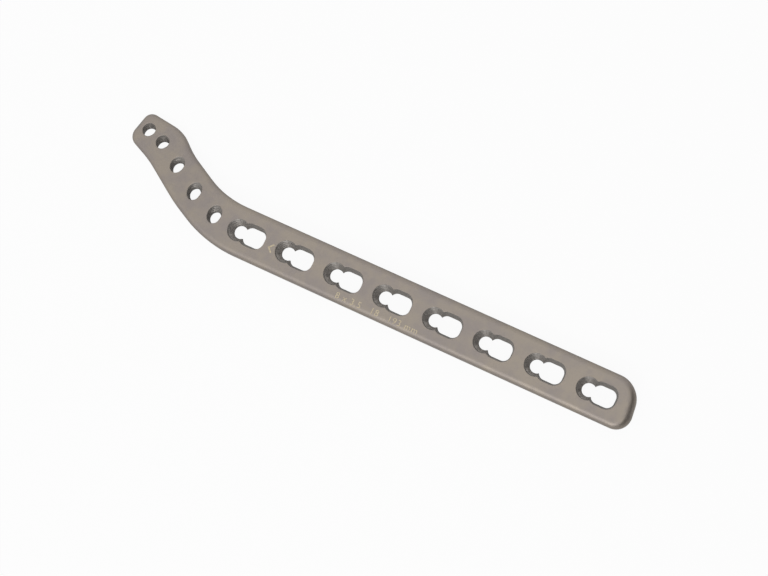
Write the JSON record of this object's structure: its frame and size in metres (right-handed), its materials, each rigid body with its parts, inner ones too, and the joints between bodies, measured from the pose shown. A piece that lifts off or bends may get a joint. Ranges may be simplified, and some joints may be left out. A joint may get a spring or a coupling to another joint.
{
  "type": "orthopedic bone plate",
  "caption": "Curved, left-sided locking bone plate: straight shaft with combination holes and a narrower head, bent to the bone, with round threaded screw holes.",
  "frame": {"origin": "on the bone side of the shaft, in the middle of the row of combination holes", "axes": "+X along the shaft to its free end, +Y to the side the head curves to, +Z out of the outer face"},
  "size_m": [0.1926, 0.0328, 0.0071],
  "materials": {
    "plate_metal": "satin, blasted titanium"
  },
  "bodies": {
    "root": {"bone_plate": "plate_metal"}
  },
  "joints": []
}
